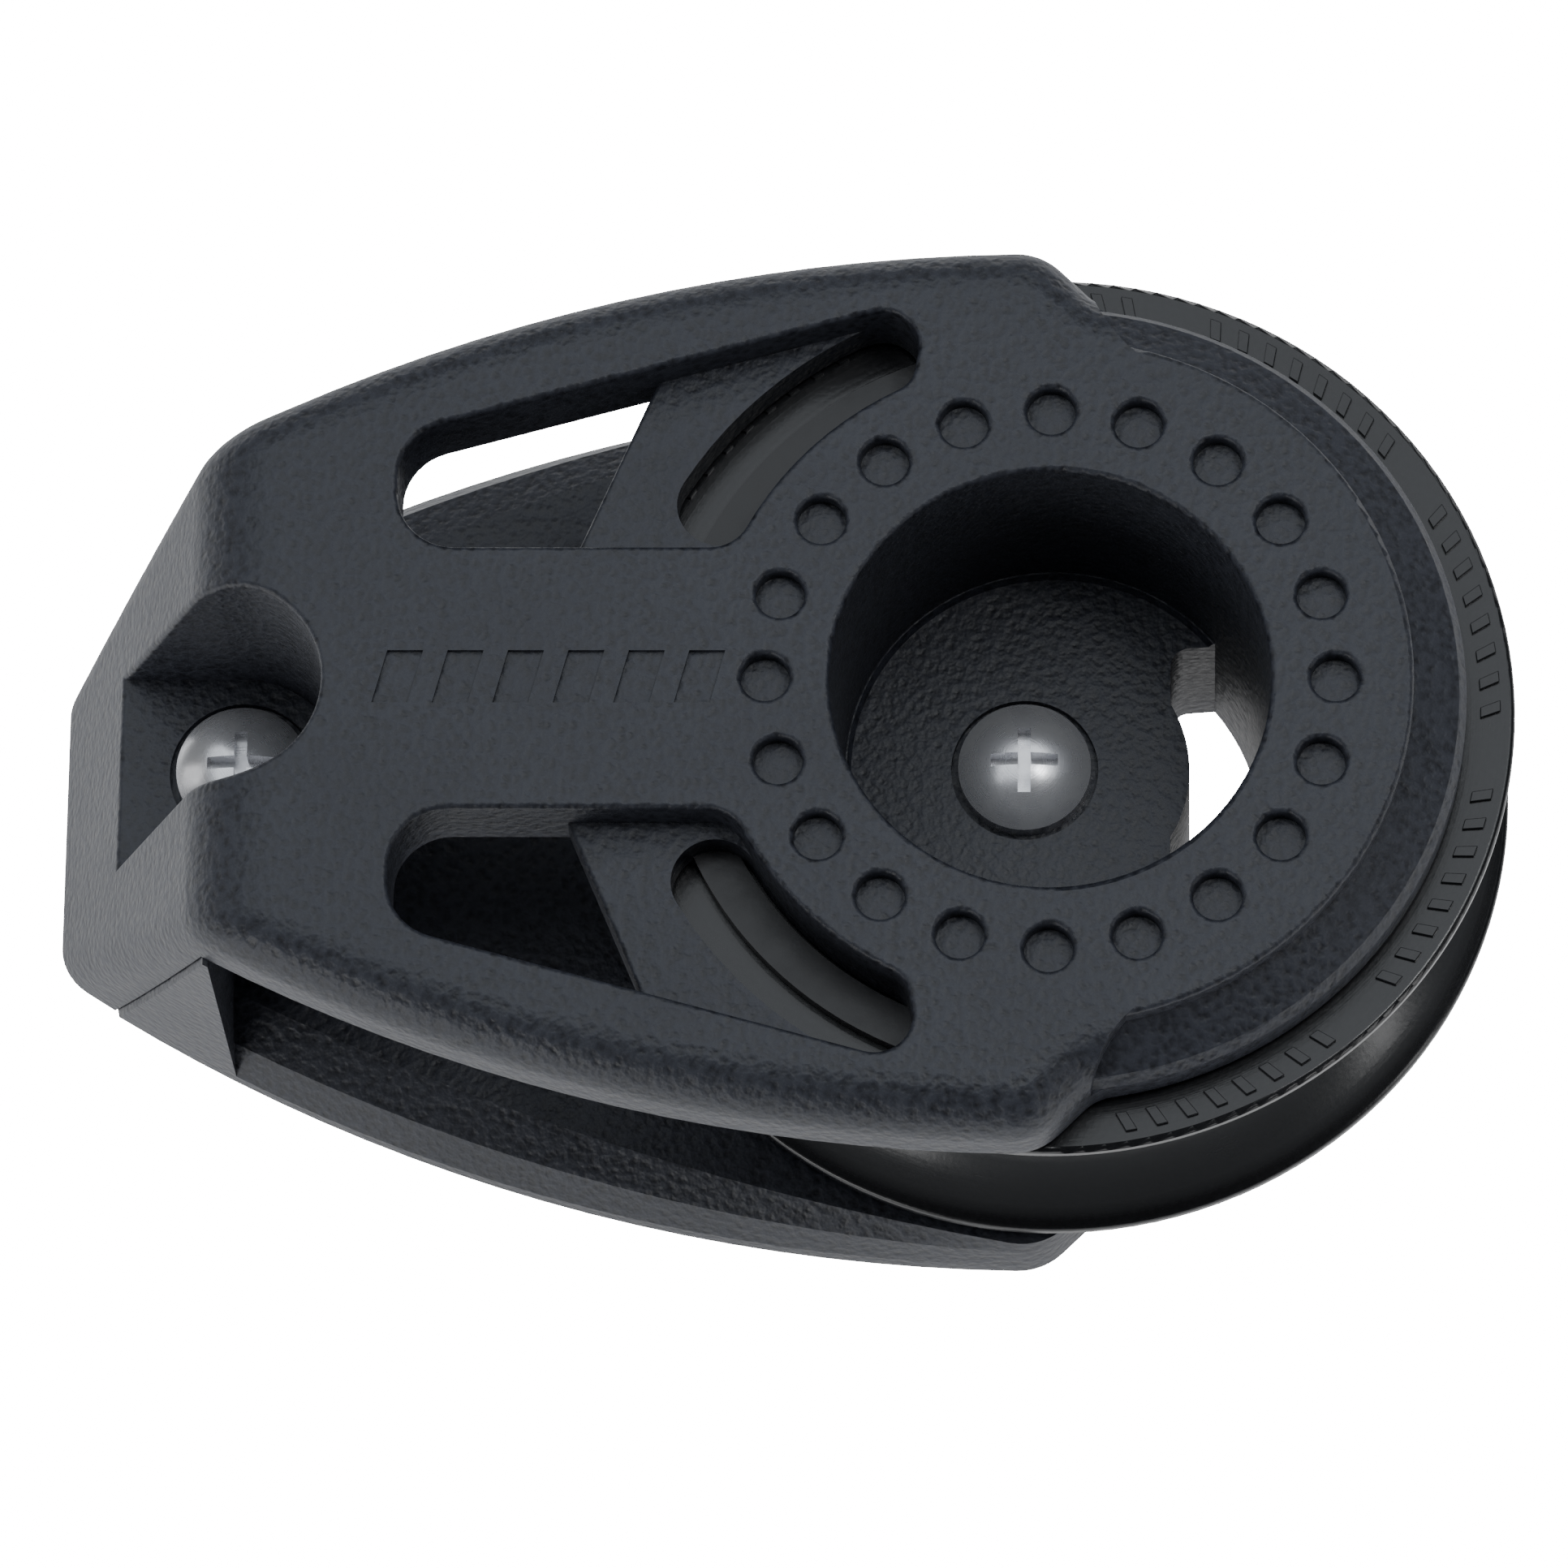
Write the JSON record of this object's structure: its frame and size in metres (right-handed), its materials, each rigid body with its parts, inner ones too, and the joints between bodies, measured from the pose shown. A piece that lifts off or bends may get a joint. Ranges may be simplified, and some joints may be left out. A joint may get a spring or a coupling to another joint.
{
  "type": "single sheave cheek block",
  "caption": "Cheek block with a grooved rope sheave on caged ball bearings between two moulded sideplates, held to a flat surface by two domed screws.",
  "frame": {"origin": "the sheave's axis where it meets the flat back face that lies on the deck", "axes": "+X from the head screw towards the sheave's free rim, +Z out of the mounting surface along the sheave's axis, +Y across the block"},
  "size_m": [0.0915, 0.0584, 0.0386],
  "materials": {
    "sideplate": "fine moulded grain, glass-filled nylon",
    "sheave": "smooth moulded black",
    "screw_steel": "polished stainless steel",
    "race": "hard anodised",
    "ball": "polished acetal",
    "cage": "moulded nylon",
    "washer": "low-friction black acetal"
  },
  "bodies": {
    "block": {"assembly_screws": "screw_steel", "base_sideplate": "sideplate", "centre_screw": "screw_steel", "far_retainer": "washer", "far_thrust_washer": "washer", "head_screw": "screw_steel", "inner_race": "race", "near_retainer": "washer", "near_thrust_washer": "washer", "outer_sideplate": "sideplate"},
    "sheave": {"sheave": "sheave"},
    "near_bearing": {"near_ball_01": "ball", "near_ball_02": "ball", "near_ball_03": "ball", "near_ball_04": "ball", "near_ball_05": "ball", "near_ball_06": "ball", "near_ball_07": "ball", "near_ball_08": "ball", "near_ball_09": "ball", "near_ball_10": "ball", "near_ball_11": "ball", "near_ball_12": "ball", "near_ball_13": "ball", "near_ball_14": "ball", "near_ball_15": "ball", "near_ball_16": "ball", "near_ball_17": "ball", "near_ball_18": "ball", "near_ball_19": "ball", "near_ball_20": "ball", "near_ball_cage": "cage"},
    "far_bearing": {"far_ball_01": "ball", "far_ball_02": "ball", "far_ball_03": "ball", "far_ball_04": "ball", "far_ball_05": "ball", "far_ball_06": "ball", "far_ball_07": "ball", "far_ball_08": "ball", "far_ball_09": "ball", "far_ball_10": "ball", "far_ball_11": "ball", "far_ball_12": "ball", "far_ball_13": "ball", "far_ball_14": "ball", "far_ball_15": "ball", "far_ball_16": "ball", "far_ball_17": "ball", "far_ball_18": "ball", "far_ball_19": "ball", "far_ball_20": "ball", "far_ball_cage": "cage"}
  },
  "joints": [
    {"name": "sheave_spin", "type": "hinge", "parent": "block", "child": "sheave", "pos_m": [0, 0, 0.0148], "axis": [0, 0, 1], "continuous": true},
    {"name": "near_cage_spin", "type": "hinge", "parent": "block", "child": "near_bearing", "pos_m": [0, 0, 0.019], "axis": [0, 0, 1], "continuous": true},
    {"name": "far_cage_spin", "type": "hinge", "parent": "block", "child": "far_bearing", "pos_m": [0, 0, 0.0106], "axis": [0, 0, 1], "continuous": true}
  ],
  "couplings": [
    {"joint": "near_cage_spin", "follows": "sheave_spin", "ratio": 0.56665},
    {"joint": "far_cage_spin", "follows": "sheave_spin", "ratio": 0.56665}
  ]
}
